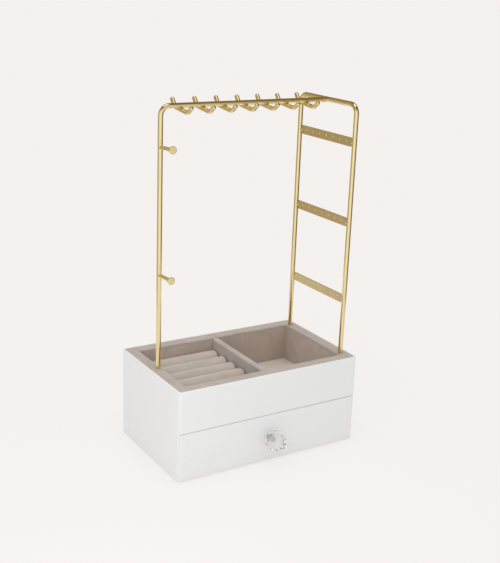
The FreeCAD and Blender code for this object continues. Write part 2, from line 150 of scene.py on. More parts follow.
class StandSizes(PropertyGroup):
    """Sizes of the edges and small parts that dress the frame."""

    corner_radius: FloatProperty(
        name="Corner radius", description="Round of the box's upright corners",
        default=4.4 * MM, **LENGTH)
    top_round: FloatProperty(
        name="Top edge round", description="Round of the box's top outer edge",
        default=1.0 * MM, **LENGTH)
    seam_round: FloatProperty(
        name="Seam round", description="Round of the two edges along the drawer seam",
        default=1.4 * MM, **LENGTH)
    lip: FloatProperty(
        name="Lip", description="Board left standing outside the velvet rim",
        default=2.3 * MM, **LENGTH)
    rim_round: FloatProperty(
        name="Rim round", description="Round of the velvet rim's outer edges",
        default=0.8 * MM, **LENGTH)
    bend_radius: FloatProperty(
        name="Bend radius", description="Bends of the posts, to the middle of the rod",
        default=10 * MM, **LENGTH)
    hook_wire: FloatProperty(
        name="Hook wire", description="Thickness of the hook wire",
        default=4.8 * MM, **LENGTH)
    hook_bend: FloatProperty(
        name="Hook bend", description="Bend radius of the hook wire",
        default=8 * MM, **LENGTH)
    hook_reach: FloatProperty(
        name="Hook reach", description="Middle of the bar to the middle of a hook's tip",
        default=22.6 * MM, **LENGTH)
    hook_rise: FloatProperty(
        name="Hook rise", description="Height of a hook's tips above its straight run",
        default=7.7 * MM, **LENGTH)
    hook_angle: FloatProperty(
        name="Hook angle", description="Angle of a hook's ends to its straight run",
        default=math.radians(44), min=0.0, subtype="ANGLE")
    hook_tilt: FloatProperty(
        name="Hook tilt", description="How far the front of a hook hangs down",
        default=math.radians(6), subtype="ANGLE")
    peg_tilt: FloatProperty(
        name="Peg tilt", description="Upward tilt of the pegs",
        default=math.radians(3), subtype="ANGLE")
    strip_hole: FloatProperty(
        name="Strip hole", description="Diameter of the holes for earrings",
        default=2.25 * MM, **LENGTH)
    knob_facets: IntProperty(
        name="Knob facets", description="Facets round the knob", default=8, min=4)
    roll_voxel: FloatProperty(
        name="Roll mesh size", description="Mesh size at which the ring rolls are puffed up",
        default=1.5 * MM, **LENGTH)


class StandColours(PropertyGroup):
    """Base colours of the finishes."""

    lacquer: FloatVectorProperty(
        name="Lacquer", description="White lacquer of the box",
        default=(0.813, 0.823, 0.829), **COLOUR)
    board: FloatVectorProperty(
        name="Drawer board", description="Satin paint on the boards inside",
        default=(0.74, 0.73, 0.71), **COLOUR)
    velvet: FloatVectorProperty(
        name="Velvet", description="Taupe velvet of the tray and drawer",
        default=(0.460, 0.402, 0.358), **COLOUR)
    felt: FloatVectorProperty(
        name="Felt", description="Felt under the box",
        default=(0.30, 0.25, 0.21), **COLOUR)
    gold: FloatVectorProperty(
        name="Gold", description="Gold plating of the rods",
        default=(0.84, 0.71, 0.39), **COLOUR)
    backdrop: FloatVectorProperty(
        name="Backdrop", description="Warm pale floor and background",
        default=(0.913, 0.880, 0.855), **COLOUR)


# ---- Shader arithmetic ----


class Wire:
    """A shader output that takes part in Python arithmetic."""

    def __init__(self, nodes, socket):
        self.nodes = nodes
        self.socket = socket

    def combine(self, operation, first, second):
        """A Math node, or Vector Math where a vector takes part."""
        vectors = [v for v in (first, second) if isinstance(v, (tuple, Vector))
                   or isinstance(v, Wire) and v.socket.type != "VALUE"]
        if not vectors:
            return self.nodes.node("Math", {"operation": operation}, {0: first, 1: second})
        if operation == "MULTIPLY" and len(vectors) == 1:
            scale = second if vectors[0] is first else first
            return self.nodes.node("VectorMath", {"operation": "SCALE"},
                                   {"Vector": vectors[0], "Scale": scale})
        return self.nodes.node("VectorMath", {"operation": operation}, {0: first, 1: second})

    def __add__(self, other):
        return self.combine("ADD", self, other)

    __radd__ = __add__

    def __sub__(self, other):
        return self.combine("SUBTRACT", self, other)

    def __rsub__(self, other):
        return self.combine("SUBTRACT", other, self)

    def __mul__(self, other):
        return self.combine("MULTIPLY", self, other)

    __rmul__ = __mul__


class Nodes:
    """The node tree of a material or of the world, under construction."""

    def __init__(self, owner, output):
        owner.use_nodes = True
        self.tree = owner.node_tree
        self.tree.nodes.clear()
        self.output = self.tree.nodes.new("ShaderNode" + output)

    def join(self, socket, value):
        """Link a wire to a socket, or set the socket to a value."""
        if isinstance(value, Wire):
            self.tree.links.new(value.socket, socket)
        elif socket.type == "RGBA" and len(value) == 3:
            socket.default_value = (*value, 1.0)
        else:
            socket.default_value = value

    def node(self, kind, settings=None, sockets=None, output=0):
        """Any node: its settings first, then the values or links of its sockets."""
        node = self.tree.nodes.new("ShaderNode" + kind)
        for name, value in (settings or {}).items():
            setattr(node, name, value)
        for name, value in (sockets or {}).items():
            self.join(node.inputs[name], value)
        return Wire(self, node.outputs[output])

    def ray(self, kind):
        """1 where the ray is of a kind."""
        return self.node("LightPath", {}, {}, "Is %s Ray" % kind)

    def mix_shaders(self, share, first, second):
        return self.node("MixShader", {}, {0: share, 1: first, 2: second})

    def show(self, shader):
        self.join(self.output.inputs["Surface"], shader)


class Finish(Nodes):
    """A material under construction round one Principled BSDF."""

    def __init__(self, name, **constants):
        self.material = bpy.data.materials.new(name)
        super().__init__(self.material, "OutputMaterial")
        self.bsdf = self.node("BsdfPrincipled", {}, {label.replace("_", " "): value
                                                     for label, value in constants.items()})
        self.show(self.bsdf)
        # Position on the piece, in millimetres.
        self.at = self.node("TexCoord", {}, {}, "Object") * 1000.0

    def set(self, label, value):
        self.join(self.bsdf.socket.node.inputs[label], value)

    def noise(self, grain, detail=2.0, rough=0.5, stretch=(1.0, 1.0, 1.0), warp=0.0):
        """Noise about 0.5 whose grain is a length in millimetres."""
        at = self.node("Mapping", {"vector_type": "POINT"}, {"Vector": self.at, "Scale": stretch})
        return self.node("TexNoise", {"noise_dimensions": "3D"},
                         {"Vector": at, "Scale": 1.0 / grain, "Detail": detail,
                          "Roughness": rough, "Distortion": warp}, "Fac")

    def step(self, value, low, high):
        """From 0 to 1, smoothly, as a value goes from low to high."""
        return self.node("MapRange", {"interpolation_type": "SMOOTHSTEP"},
                         {"Value": value, "From Min": low, "From Max": high})

    def blend(self, share, first, second):
        """From the first colour to the second as the share goes from 0 to 1."""
        return self.node("Mix", {"data_type": "RGBA", "blend_type": "MIX"},
                         {"Factor": share, "A": first, "B": second}, "Result")

    def shades(self, share, colour, dark, light):
        """From a darker to a lighter shade of a colour as the share goes from 0 to 1."""
        return self.blend(share, tinted(colour, dark), tinted(colour, light))

    def clamp(self, value, low=0.0, high=1.0):
        return self.node("Clamp", {}, {"Value": value, "Min": low, "Max": high})

    def along(self, direction):
        """How far the position lies in a direction."""
        return self.node("VectorMath", {"operation": "DOT_PRODUCT"}, {0: self.at, 1: direction},
                         "Value")

    def height(self):
        """Height on the piece, in millimetres."""
        return self.node("SeparateXYZ", {}, {"Vector": self.at}, "Z")

    def cover(self, colour, rough, height, depth, strength=1.0):
        """Colour, roughness and a bump whose height of 1 stands a depth in millimetres."""
        self.set("Base Color", colour)
        self.set("Roughness", rough)
        self.set("Normal", self.node("Bump", {}, {"Height": height, "Strength": strength,
                                                  "Distance": depth * MM}, "Normal"))
        return self.material


def tinted(colour, factor):
    """A colour made lighter or darker."""
    return tuple(min(1.0, channel * factor) for channel in colour)


# ---- Finishes ----


def make_lacquer(colours):
    """Sprayed white lacquer: faint orange peel, hazy patches and a slightly uneven gloss."""
    coat = Finish("white lacquer", IOR=1.5)
    haze = coat.noise(55.0, 3.0)
    cloud = coat.noise(9.0, 3.0, 0.6)
    peel = coat.noise(1.7, 1.5, 0.4)
    wave = coat.noise(14.0, 1.0)
    return coat.cover(coat.shades(haze, colours.lacquer, 0.985, 1.015),
                      0.16 + (cloud - 0.5) * 0.06, peel * 0.5 + wave * 2.0, 0.012)


def make_board(colours):
    """Satin paint rolled onto board: a fine stipple and slightly uneven sheen."""
    paint = Finish("satin painted board", IOR=1.45)
    patch = paint.noise(38.0, 3.0)
    fibre = paint.noise(0.9, 2.0, 0.6, stretch=(0.18, 1.0, 1.0))
    stipple = paint.noise(0.7, 2.0, 0.55)
    return paint.cover(paint.shades(patch * 0.7 + fibre * 0.3, colours.board, 0.955, 1.03),
                       0.48 + (patch - 0.5) * 0.14 + (fibre - 0.5) * 0.08,
                       stipple + fibre * 0.6, 0.035)


def make_velvet(colours, name, tint, lean, patchy):
    """Short velvet pile that leans one way, with brushed patches and fine grain, its colour scaled
    by a tint that paints light onto the lighter copies.
    """
    # The tint lightens copies of one velvet where light falls on them: painted light.
    colour = tuple(channel * share for channel, share in zip(colours.velvet, tint))
    pile = Finish(name, IOR=1.4, Sheen_Weight=0.45, Sheen_Roughness=0.45,
                  Sheen_Tint=tinted(colour, 1.7), Specular_IOR_Level=0.15)
    brushed = pile.noise(16.0, 3.0, 0.55, stretch=lean, warp=0.8)
    stroke = pile.noise(3.2, 2.0, 0.6, stretch=tuple(0.35 + 0.65 * s for s in lean))
    grain = pile.noise(0.42, 3.0, 0.7)
    fleck = pile.noise(0.95, 2.0, 0.6)
    lay = pile.step(brushed, 0.30, 0.70)
    shade = lay * 0.40 + stroke * 0.22 + grain * 0.21 + fleck * 0.17
    return pile.cover(pile.shades(shade, colour, 1.0 - patchy, 1.0 + patchy),
                      0.86 + (lay - 0.5) * 0.10 + (grain - 0.5) * 0.08,
                      grain * 0.9 + fleck * 0.7 + stroke * 0.9, 0.16, 0.8)


def make_felt(colours):
    """Pressed wool felt: tangled fibres and lint."""
    wool = Finish("base felt", IOR=1.4, Sheen_Weight=0.25, Sheen_Roughness=0.6,
                  Specular_IOR_Level=0.1)
    tangle = wool.noise(0.9, 4.0, 0.75, warp=2.5)
    fibres = wool.noise(2.4, 3.0, 0.7, stretch=(1.0, 0.25, 1.0), warp=1.5)
    patch = wool.noise(22.0, 2.0)
    lint = wool.step(wool.noise(1.6, 2.0, 0.5, warp=3.0), 0.70, 0.78)
    tone = wool.shades(tangle * 0.5 + fibres * 0.3 + patch * 0.2, colours.felt, 0.68, 1.32)
    return wool.cover(wool.blend(lint * 0.5, tone, tinted(colours.felt, 2.0)),
                      0.93 + (tangle - 0.5) * 0.1, tangle + fibres * 0.8, 0.28)


def make_metal(colours, name, colour, rough, grain, stretch, mottle):
    """Drawn metal with faint mottling and finger smudges. A number stands for a shade of gold."""
    if isinstance(colour, float):
        colour = tinted(colours.gold, colour)
    metal = Finish(name, Metallic=1.0)
    lines = metal.noise(grain, 2.0, 0.6, stretch=stretch)
    cloud = metal.noise(6.5, 3.0, 0.6)
    smudge = metal.step(metal.noise(19.0, 3.0, 0.6, warp=1.2), 0.46, 0.66)
    return metal.cover(
        metal.shades(cloud * 0.6 + lines * 0.4, colour, 1.0 - mottle, 1.0 + mottle),
        rough + (lines - 0.5) * 0.10 + (cloud - 0.5) * 0.06 + smudge * 0.07,
        lines + cloud * 0.5, 0.0035)


def make_insert_brass(colours):
    """Turned brass with fine thread lines round it."""
    brass = Finish("turned brass insert", Metallic=1.0)
    height = brass.height()
    thread = brass.node("Math", {"operation": "SINE"}, {0: height * (2 * math.pi / 0.8)})
    cloud = brass.noise(2.5, 3.0)
    return brass.cover(brass.blend(cloud, (0.58, 0.40, 0.15), (0.74, 0.55, 0.25)),
                       0.30 + (cloud - 0.5) * 0.2, thread * 0.5 + cloud * 0.1, 0.2)


def make_crystal(colours):
    """Cast acrylic under a gloss surface: it bends light a little and keeps a faint milkiness."""
    clear = Finish("clear acrylic", IOR=1.20, Transmission_Weight=0.88, Coat_Weight=1.0,
                   Coat_Roughness=0.02, Coat_IOR=1.5)
    polish = clear.noise(1.6, 2.0)
    smear = clear.noise(5.0, 3.0, 0.6, warp=1.0)
    return clear.cover((0.975, 0.982, 0.985),
                       clear.clamp(0.03 + (smear - 0.45) * 0.12, 0.01, 0.12), polish, 0.01)


MAKERS = {
    "lacquer": (make_lacquer,),
    "board": (make_board,),
    # Velvet: its name, its tint (above 1 it is painted light that lightens the linings, pads and
    # rolls), the way the pile is brushed and how patchy it is.
    "velvet": (make_velvet, "taupe velvet", (1.0, 1.0, 1.0), (1.0, 0.45, 0.7), 0.17),
    # The linings' velvet is the taupe velvet painted lighter and warmer, as painted light on the
    # walls in shade.
    "wall_velvet": (make_velvet, "lining velvet", (1.12, 1.07, 1.04), (1.0, 1.0, 0.5), 0.20),
    # The pads' velvet is the taupe velvet painted 1.42 times lighter: painted light on the tray and
    # drawer floors.
    "pad_velvet": (make_velvet, "pad velvet", (1.42, 1.42, 1.42), (0.6, 1.0, 1.0), 0.17),
    # The rolls' velvet is the taupe velvet painted 1.12 times lighter: painted light on the rolls.
    "roll_velvet": (make_velvet, "ring roll velvet", (1.12, 1.12, 1.12), (0.4, 1.0, 1.0), 0.17),
    "felt": (make_felt,),
    # Metal: its name, colour, roughness, the grain of its lines, their stretch, the mottling.
    "post_gold": (make_metal, "gold plated rod", 1.0, 0.15, 0.35, (1.0, 1.0, 0.06), 0.06),
    "bar_gold": (make_metal, "gold plated fittings", 1.0, 0.15, 0.5, (1.0, 1.0, 1.0), 0.06),
    "strip_gold": (make_metal, "satin gold strip", 0.83, 0.34, 0.30, (1.0, 0.05, 1.0), 0.07),
    "insert_brass": (make_insert_brass,),
    "steel": (make_metal, "zinc plated steel", (0.62, 0.63, 0.64), 0.30, 0.30, (1.0, 1.0, 1.0),
              0.12),
    "crystal": (make_crystal,),
}
FINISHES = {}


def finish(name):
    """The finished material of a name, made the first time that it is asked for."""
    if name not in FINISHES:
        maker, *details = MAKERS[name]
        FINISHES[name] = maker(bpy.context.scene.stand_colours, *details)
    return FINISHES[name]


# ---- Bench: shapes and tools in common ----


def put_down():
    """Back to object mode with nothing selected."""
    if bpy.context.mode != "OBJECT":
        leave()
    bpy.ops.object.select_all(action="DESELECT")


def hold(*pieces):
    """Select pieces in object mode, the last one active."""
    put_down()
    for piece in pieces:
        piece.select_set(True)
    bpy.context.view_layer.objects.active = pieces[-1]


def edit(piece):
    """Open a piece in edit mode with nothing selected."""
    hold(piece)
    bpy.ops.object.mode_set(mode="EDIT")
    bpy.ops.mesh.select_all(action="DESELECT")


def leave():
    bpy.ops.object.mode_set(mode="OBJECT")


def rename(piece, name):
    """Name a piece and its mesh."""
    piece.name = name
    piece.data.name = name
    return piece


def add(operator, name, **settings):
    """Add a primitive with an operator, put its place in its mesh and name it."""
    put_down()
    operator(**settings)
    bpy.ops.object.transform_apply(location=True, rotation=True, scale=True)
    return rename(bpy.context.active_object, name)


def block(name, low, high):
    """A block between two corners."""
    low, high = Vector(low), Vector(high)
    return add(bpy.ops.mesh.primitive_cube_add, name, size=1.0, location=(low + high) / 2,
               scale=high - low)


def rounded_block(name, low, high, corner, segments):
    """A block with its upright edges rounded."""
    piece = block(name, low, high)
    round_edges(piece, upright, corner, segments)
    return piece


def round_bar(name, start, end, radius, sides=32):
    """A round bar between two points."""
    start, end = Vector(start), Vector(end)
    turn = (end - start).to_track_quat("Z", "Y").to_euler()
    return add(bpy.ops.mesh.primitive_cylinder_add, name, vertices=sides, radius=radius,
               depth=(end - start).length, location=(start + end) / 2, rotation=turn)


def pick(kind, test):
    """Select the vertices, edges or faces that pass a test, and nothing else."""
    kinds = ("verts", "edges", "faces")
    bpy.context.tool_settings.mesh_select_mode = tuple(kind == k for k in kinds)
    bpy.ops.mesh.select_all(action="DESELECT")
    mesh = bmesh.from_edit_mesh(bpy.context.edit_object.data)
    found = [item for item in getattr(mesh, kind) if test(item)]
    for item in found:
        item.select_set(True)
    mesh.select_flush_mode()
    bmesh.update_edit_mesh(bpy.context.edit_object.data)
    if not found:
        raise RuntimeError("nothing on %s passes the test" % bpy.context.edit_object.name)


def centre_of(item):
    """Middle of an edge or a face."""
    return sum((v.co for v in item.verts), Vector()) / len(item.verts)


def run_of(edge):
    """Unit direction of an edge."""
    return (edge.verts[1].co - edge.verts[0].co).normalized()


def near(first, second, slack=1e-5):
    return abs(first - second) < slack


def upright(edge):
    return abs(run_of(edge).z) > 0.9


def at_height(z):
    """A test for edges and faces at a height."""
    return lambda item: near(centre_of(item).z, z)


def round_edges(piece, test, radius, segments):
    """Round the edges of a piece that pass a test."""
    edit(piece)
    pick("edges", test)
    bpy.ops.mesh.bevel(offset=radius, segments=segments, affect="EDGES", profile=0.5)
    leave()


def turn_down(piece, test, inset, move):
    """Inset the end faces that pass a test and draw them out as a thinner stem."""
    edit(piece)
    pick("faces", test)
    bpy.ops.mesh.inset(thickness=inset)
    bpy.ops.mesh.extrude_region_move(TRANSFORM_OT_translate={"value": move})
    leave()


def saw(piece, point, normal):
    """Cut a piece through a point, keep the side behind the normal and close the cut."""
    edit(piece)
    bpy.ops.mesh.select_all(action="SELECT")
    bpy.ops.mesh.bisect(plane_co=point, plane_no=normal, use_fill=True, clear_outer=True)
    leave()


def apply_modifier(piece, kind, **settings):
    """Add a modifier and apply it."""
    hold(piece)
    modifier = piece.modifiers.new(kind.title(), kind)
    for name, value in settings.items():
        setattr(modifier, name, value)
    bpy.ops.object.modifier_apply(modifier=modifier.name)


def cut(piece, *cutters):
    """Cut other shapes out of a piece, and throw them away."""
    for cutter in cutters:
        apply_modifier(piece, "BOOLEAN", operation="DIFFERENCE", solver="EXACT", object=cutter)
        bpy.data.objects.remove(cutter)
    tidy_mesh(piece)


def tidy_mesh(piece):
    """Merge doubles and turn every face outwards."""
    edit(piece)
    bpy.ops.mesh.select_all(action="SELECT")
    bpy.ops.mesh.remove_doubles(threshold=1e-6)
    bpy.ops.mesh.normals_make_consistent(inside=False)
    leave()


def soften(piece, radius, segments=3, angle=40.0):
    """Round every sharp edge of a piece."""
    apply_modifier(piece, "BEVEL", width=radius, segments=segments, limit_method="ANGLE",
                   angle_limit=math.radians(angle), use_clamp_overlap=True,
                   miter_outer="MITER_ARC")


def smooth(piece, angle=40.0, weighted=True):
    """Smooth shading that keeps the flats flat."""
    hold(piece)
    bpy.ops.object.shade_smooth_by_angle(angle=math.radians(angle))
    if weighted:
        apply_modifier(piece, "WEIGHTED_NORMAL", keep_sharp=True, weight=50)


def merge(name, *pieces):
    """Join pieces into one object."""
    hold(*pieces)
    bpy.ops.object.join()
    return rename(bpy.context.active_object, name)


def paint(piece, material):
    """Give a piece its finish."""
    piece.data.materials.clear()
    piece.data.materials.append(finish(material))


def dress(piece, material, body, node):
    """Give a piece its finish, body and slot, and let it stand for its CAD node."""
    paint(piece, material)
    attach(piece, body)
    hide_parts(node)


def repeat(first, family, ending, material):
    """Copy a piece and its mesh to the place of each node of a family, and remove the first."""
    nodes = sorted(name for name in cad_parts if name.startswith(family))
    twins = []
    for node in nodes:
        hold(first)
        bpy.ops.object.duplicate(linked=False)
        bpy.ops.transform.translate(value=middle(node) - middle(nodes[0]))
        bpy.ops.object.transform_apply(location=True, rotation=True, scale=True)
        twin = rename(bpy.context.active_object, node + ending)
        dress(twin, material, "case", node)
        twins.append(twin)
    bpy.data.objects.remove(first)
    return twins


def extrude_open(move):
    """Draw the selected open end along."""
    bpy.ops.mesh.extrude_edges_move(TRANSFORM_OT_translate={"value": move})


def open_circle(name, place, turn, radius, sides):
    """A bare circle, open in edit mode and selected, to draw a piece out of."""
    ring = add(bpy.ops.mesh.primitive_circle_add, name, vertices=sides, radius=radius,
               fill_type="NOTHING", location=place, rotation=turn)
    edit(ring)
    bpy.context.tool_settings.mesh_select_mode = (False, True, False)
    bpy.ops.mesh.select_all(action="SELECT")
    return ring


def close_end(test):
    """Fill the open end whose edges pass a test."""
    pick("edges", lambda e: e.is_boundary and test(e))
    bpy.ops.mesh.edge_face_add()


def bent_rod(name, corners, bend, radius, sides=32, steps=14):
    """A round rod that runs from corner to corner, bent to a radius at each turn."""
    corners = [Vector(c) for c in corners]
    turn = (corners[1] - corners[0]).to_track_quat("Z", "Y").to_euler()
    rod = open_circle(name, corners[0], turn, radius, sides)
    place = corners[0]
    for before, corner, after in zip(corners, corners[1:], corners[2:]):
        inward = (corner - before).normalized()
        onward = (after - corner).normalized()
        angle = inward.angle(onward)
        reach = bend * math.tan(angle / 2)
        axis = inward.cross(onward).normalized()
        start = corner - inward * reach
        extrude_open(start - place)
        bpy.ops.mesh.spin(steps=steps, angle=-angle, center=start + axis.cross(inward) * bend,
                          axis=axis)
        place = corner + onward * reach
    extrude_open(corners[-1] - place)
    for end in (corners[0], corners[-1]):
        close_end(lambda e: (centre_of(e) - end).length < 1.1 * radius)
    leave()
    tidy_mesh(rod)
    return rod


# ---- The stage ----


def compass(azimuth, elevation):
    """Unit direction from the object: degrees from the front, then degrees up."""
    turn, rise = math.radians(azimuth), math.radians(elevation)
    return Vector((math.sin(turn) * math.cos(rise), -math.cos(turn) * math.cos(rise),
                   math.sin(rise)))


class STAND_OT_stage(Operator):
    """Lay the floor, hang the lights and set up the camera"""

    bl_idname = "jewelry_stand.stage"
    bl_label = "Stage"

    def execute(self, context):
        backdrop = tuple(context.scene.stand_colours.backdrop)
        self.lay_floor(backdrop)
        self.light_world(context.scene, backdrop)
        self.hang_lights()
        self.stand_screen()
        self.place_camera(context)
        context.scene.view_settings.view_transform = "Standard"
        return {"FINISHED"}

    def lay_floor(self, colour):
        """Pale backdrop paper with the faintest tone to it, seen as it is but still in shadow."""
        floor = add(bpy.ops.mesh.primitive_grid_add, "floor", size=240.0, x_subdivisions=4,
                    y_subdivisions=4)
        paper = Finish("backdrop paper", Specular_IOR_Level=0.0, Roughness=1.0)
        tone = paper.noise(240.0, 3.0)
        paper.set("Base Color", paper.shades(tone, colour, 0.992, 1.008))
        glow = paper.node("Emission", {}, {"Color": colour, "Strength": 1.0})
        seen = paper.clamp(paper.ray("Camera") + paper.ray("Glossy") + paper.ray("Transmission"))
        paper.show(paper.mix_shaders(seen * FLOOR_GLOW, paper.bsdf, glow))
        paper.material.cycles.emission_sampling = "NONE"
        floor.data.materials.append(paper.material)

    def light_world(self, scene, backdrop):
        """Even air for the object, a shaded room for its gloss and the backdrop for the eye."""
        scene.world = bpy.data.worlds.new("studio air")
        air = Nodes(scene.world, "OutputWorld")
        lit, room, shown = [air.node("Background", {}, {"Color": colour, "Strength": level})
                            for colour, level in ((AIR_COLOUR, AIR_LEVEL), (SHADED_ROOM, 1.0),
                                                  (backdrop, 1.0))]
        around = air.mix_shaders(air.ray("Glossy"), lit, room)
        seen = air.node("Math", {"operation": "MAXIMUM"},
                        {0: air.ray("Camera"), 1: air.ray("Transmission")})
        air.show(air.mix_shaders(seen, around, shown))

    def hang_lights(self):
        sun = self.add_lamp("SUN", "top sun", SUN_AIM, distance=2.0, energy=0.85)
        sun.data.angle = math.radians(50.0)
        sun.data.color = (1.0, 0.997, 0.990)
        softbox = self.add_lamp("AREA", "softbox", SOFTBOX_AIM, distance=0.58, energy=0.35)
        softbox.data.shape = "SQUARE"
        softbox.data.size = 0.30
        softbox.visible_glossy = False

    def add_lamp(self, kind, name, aim, distance, energy):
        """A lamp that shines on the object from a direction."""
        put_down()
        bpy.ops.object.light_add(type=kind, location=compass(*aim) * distance)
        lamp = rename(bpy.context.active_object, name)
        lamp.data.energy = energy
        lamp.rotation_euler = compass(*aim).to_track_quat("Z", "Y").to_euler()
        return lamp

    def stand_screen(self):
        """A round screen for the metal to mirror: bright in front, shaded at sides and back."""
        screen = add(bpy.ops.mesh.primitive_cylinder_add, "mirror_screen", vertices=96,
                     radius=SCREEN_RADIUS, depth=SCREEN_HEIGHT, end_fill_type="NOTHING",
                     location=(0, 0, SCREEN_HEIGHT / 2))
        shade = Finish("screen cloth")
        reach = SCREEN_RADIUS / MM
        ahead = shade.along(compass(CAMERA_AIM[0], 0.0) / reach)
        behind = shade.along(compass(*GLINT_AIM) / reach)
        low = 1.0 - shade.step(shade.height(), *SCREEN_FADE)
        lit = shade.step(ahead, 0.1, 0.95) * low
        back = shade.blend(shade.step(behind, 0.2, 0.95) * low, SHADED_ROOM, GLINT)
        tone = shade.blend(lit, back, (1.0, 1.0, 1.0))
        shade.show(shade.node("Emission", {}, {"Color": tone, "Strength": 1.05}))
        shade.material.cycles.emission_sampling = "NONE"
        screen.data.materials.append(shade.material)
        for ray in ("camera", "diffuse", "transmission", "volume_scatter", "shadow"):
            setattr(screen, "visible_" + ray, False)

    def place_camera(self, context):
        back = compass(*CAMERA_AIM)
        right = compass(CAMERA_AIM[0] + 90.0, 0.0)
        up = back.cross(right)
        across = right * math.cos(CAMERA_ROLL) + up * math.sin(CAMERA_ROLL)
        upward = up * math.cos(CAMERA_ROLL) - right * math.sin(CAMERA_ROLL)
        put_down()
        bpy.ops.object.camera_add()
        camera = rename(context.active_object, "camera")
        camera.data.sensor_width = SENSOR_WIDTH
        camera.data.sensor_fit = "AUTO"
        camera.data.lens = FOCAL_PIXELS / IMAGE_PIXELS * SENSOR_WIDTH
        camera.data.clip_start = 0.01
        camera.data.clip_end = 500.0
        turn = Matrix((across, upward, back)).transposed()
        place = CAMERA_TARGET + back * CAMERA_DISTANCE
        camera.matrix_world = Matrix.Translation(place) @ turn.to_4x4()
        context.scene.camera = camera


# ---- The box ----


class STAND_OT_boards(Operator):
    """Make the side boards, the back and the rail above the drawer"""

    bl_idname = "jewelry_stand.boards"
    bl_label = "Box boards"

    def execute(self, context):
        sizes = context.scene.stand_sizes
        for node, side in (("side_panel_left", -1), ("side_panel_right", 1)):
            board = rounded_case(sizes)
            for end in (-1, 1):
                saw(board, (side * HALF_WIDTH, end * HALF_DEPTH, 0), (-side, end, 0))
            saw(board, (side * INNER_X, 0, 0), (-side, 0, 0))
            sockets = [round_bar("socket", (x, y, RIM_FOOT - SOCKET_DEPTH), (x, y, CASE_TOP + PAST),
                                 SOCKET_RADIUS) for x, y in POST_FEET]
            cut(board, tray_pocket(sizes), *sockets)
            lacquer(board, "case", node)

        back = cross_board(sizes, 1, 0.0)
        cut(back, tray_pocket(sizes))
        lacquer(back, "case", "back_panel")

        rail = cross_board(sizes, -1, 0.0)
        saw(rail, (0, 0, RAIL_FOOT), (0, 0, -1))
        cut(rail, tray_pocket(sizes))
        round_seam(rail, RAIL_FOOT, sizes.seam_round)
        lacquer(rail, "case", "front_rail")
        return {"FINISHED"}


def lacquer(board, body, node):
    """Name a finished board and lacquer it."""
    rename(board, node + "_lacquered")
    smooth(board, 30.0)
    dress(board, "lacquer", body, node)


def rounded_case(sizes):
    """The whole box as one rounded block, before it is sawn into boards."""
    case = rounded_block("board", (-HALF_WIDTH, -HALF_DEPTH, CASE_FOOT),
                         (HALF_WIDTH, HALF_DEPTH, CASE_TOP), sizes.corner_radius, 9)
    round_edges(case, at_height(CASE_TOP), sizes.top_round, 4)
    round_edges(case, at_height(CASE_FOOT), FOOT_ROUND, 2)
    return case


def tray_pocket(sizes):
    """The rebate for the velvet rim, as a cutter."""
    x, y = HALF_WIDTH - sizes.lip, HALF_DEPTH - sizes.lip
    return rounded_block("pocket", (-x, -y, RIM_FOOT), (x, y, CASE_TOP + 2 * PAST), RIM_CORNER, 6)


def cross_board(sizes, side, gap):
    """A front (-1) or back (1) board, sawn out of the rounded case, its mitres drawn in."""
    board = rounded_case(sizes)
    for end in (-1, 1):
        saw(board, (end * (HALF_WIDTH - gap), side * HALF_DEPTH, 0), (end, -side, 0))
    saw(board, (0, side * INNER_Y, 0), (0, -side, 0))
    return board


def round_seam(board, height, radius):
    """Round the outer edge of a front board at a height, but not along its mitres."""
    def outer(edge):
        place, run = centre_of(edge), run_of(edge)
        mitre = abs(abs(place.x) - abs(place.y) - HALF_WIDTH + HALF_DEPTH)
        slant = abs(abs(run.x) - abs(run.y))
        return near(place.z, height) and place.y < -INNER_Y - WALL / 2 and mitre + slant > 1.5 * MM

    round_edges(board, outer, radius, 4)


class STAND_OT_floors(Operator):
    """Paint the base and shelf panels and lay the felt underneath"""

    bl_idname = "jewelry_stand.floors"
    bl_label = "Base, shelf and felt"

    def execute(self, context):
        for node, material in (("base_panel", "board"), ("shelf_panel", "board"),
                               ("threaded_inserts", "insert_brass")):
            paint(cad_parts[node], material)
        low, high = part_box("base_felt")
        felt = rounded_block("base_felt_sheet", low, high, FELT_CORNER, 5)
        soften(felt, FELT_ROUND, 2)
        smooth(felt, 35.0)
        dress(felt, "felt", "case", "base_felt")
        return {"FINISHED"}


# ---- The velvet tray ----


class STAND_OT_tray_rim(Operator):
    """Make the velvet frame round the tray, with a hole for each post"""

    bl_idname = "jewelry_stand.tray_rim"
    bl_label = "Tray rim"

    def execute(self, context):
        sizes = context.scene.stand_sizes
        low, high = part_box("tray_rim")
        x, y = HALF_WIDTH - sizes.lip, HALF_DEPTH - sizes.lip
        rim = rounded_block("tray_rim_velvet", (-x, -y, low.z), (x, y, high.z), RIM_CORNER, 6)
        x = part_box("lining_right")[0].x - VELVET_GAP
        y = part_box("lining_back")[0].y - VELVET_GAP
        cut(rim, rounded_block("mouth", (-x, -y, low.z - PAST), (x, y, high.z + PAST),
                               MOUTH_CORNER, 5))

        on_top = at_height(high.z)

        def past_mouth(edge):
            """How far an edge lies outside the mouth."""
            return max(abs(centre_of(edge).x) - x, abs(centre_of(edge).y) - y)

        round_edges(rim, lambda e: on_top(e) and past_mouth(e) < 0.1 * MM, MOUTH_ROLL, 6)
        round_edges(rim, lambda e: on_top(e) and past_mouth(e) > 3 * MM, sizes.rim_round, 5)
        cut(rim, *[round_bar("hole", (px, py, low.z - PAST), (px, py, high.z + PAST),
                             ROD_RADIUS + VELVET_GAP, 40) for px, py in POST_FEET])
        smooth(rim)
        dress(rim, "velvet", "case", "tray_rim")
        return {"FINISHED"}


